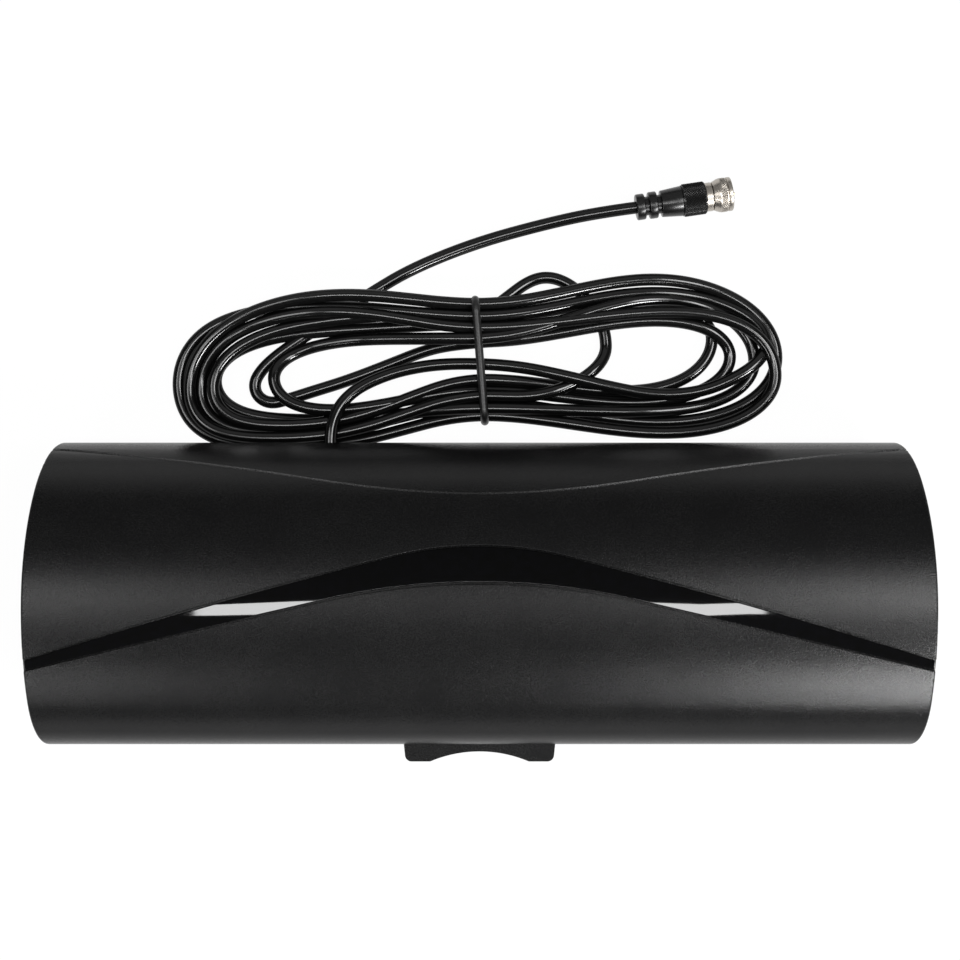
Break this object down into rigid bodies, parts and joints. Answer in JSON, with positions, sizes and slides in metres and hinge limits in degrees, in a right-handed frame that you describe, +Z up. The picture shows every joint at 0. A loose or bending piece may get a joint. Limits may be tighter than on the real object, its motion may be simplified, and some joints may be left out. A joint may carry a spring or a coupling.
{
  "type": "indoor tv antenna",
  "caption": "Bar-shaped indoor television antenna with a curved black housing, a wavy gloss trim, a small foot and a coax lead tied in a hank that ends in a screw-on plug.",
  "frame": {"origin": "on the surface that the antenna lies on, under the middle of the housing and its foot", "axes": "+X along the bar to the right seen from the front, +Y from the foot to the top edge, +Z up, out of the curved front"},
  "size_m": [0.28, 0.1959, 0.06],
  "materials": {
    "housing_black": "fine grained black moulding",
    "trim_gloss_black": "polished black",
    "cord_black": "smooth black jacket with a soft gloss",
    "tie_black": "black coated tie",
    "boot_black": "black moulded boot with a knurled grip",
    "plug_nickel": "nickel plating, slightly worn",
    "insulator_white": "white dielectric",
    "contact_brass": "bare copper alloy",
    "blade_aluminium": "stamped sheet",
    "board_green": "green solder mask",
    "ferrite_grey": "sintered ferrite",
    "inner_black": "plain black moulding",
    "screw_steel": "zinc plated steel"
  },
  "bodies": {
    "antenna": {"front_cover": "housing_black", "rear_shell": "housing_black", "foot": "housing_black", "gloss_trim": "trim_gloss_black", "case_screws": "screw_steel", "foot_screws": "screw_steel", "element_screws": "screw_steel", "board_screws": "screw_steel", "clamp_screws": "screw_steel", "element_left": "blade_aluminium", "element_right": "blade_aluminium", "matching_board": "board_green", "terminal_rivets": "contact_brass", "balun_core": "ferrite_grey", "balun_winding": "contact_brass", "coax_clip": "screw_steel", "cable_clamp": "inner_black", "cable_bush": "cord_black", "lead_in": "cord_black", "cord_lead": "cord_black", "cord_hank": "cord_black", "cord_tail": "cord_black", "cord_tie": "tie_black", "plug_boot": "boot_black", "plug_body": "plug_nickel", "plug_insulator": "insulator_white", "plug_pin": "contact_brass"},
    "plug_nut": {"plug_nut": "plug_nickel"}
  },
  "joints": [
    {"name": "nut_spin", "type": "hinge", "parent": "antenna", "child": "plug_nut", "pos_m": [0.08259, 0.13723, 0.0058], "axis": [0.9895, 0.1444, 0], "continuous": true}
  ]
}
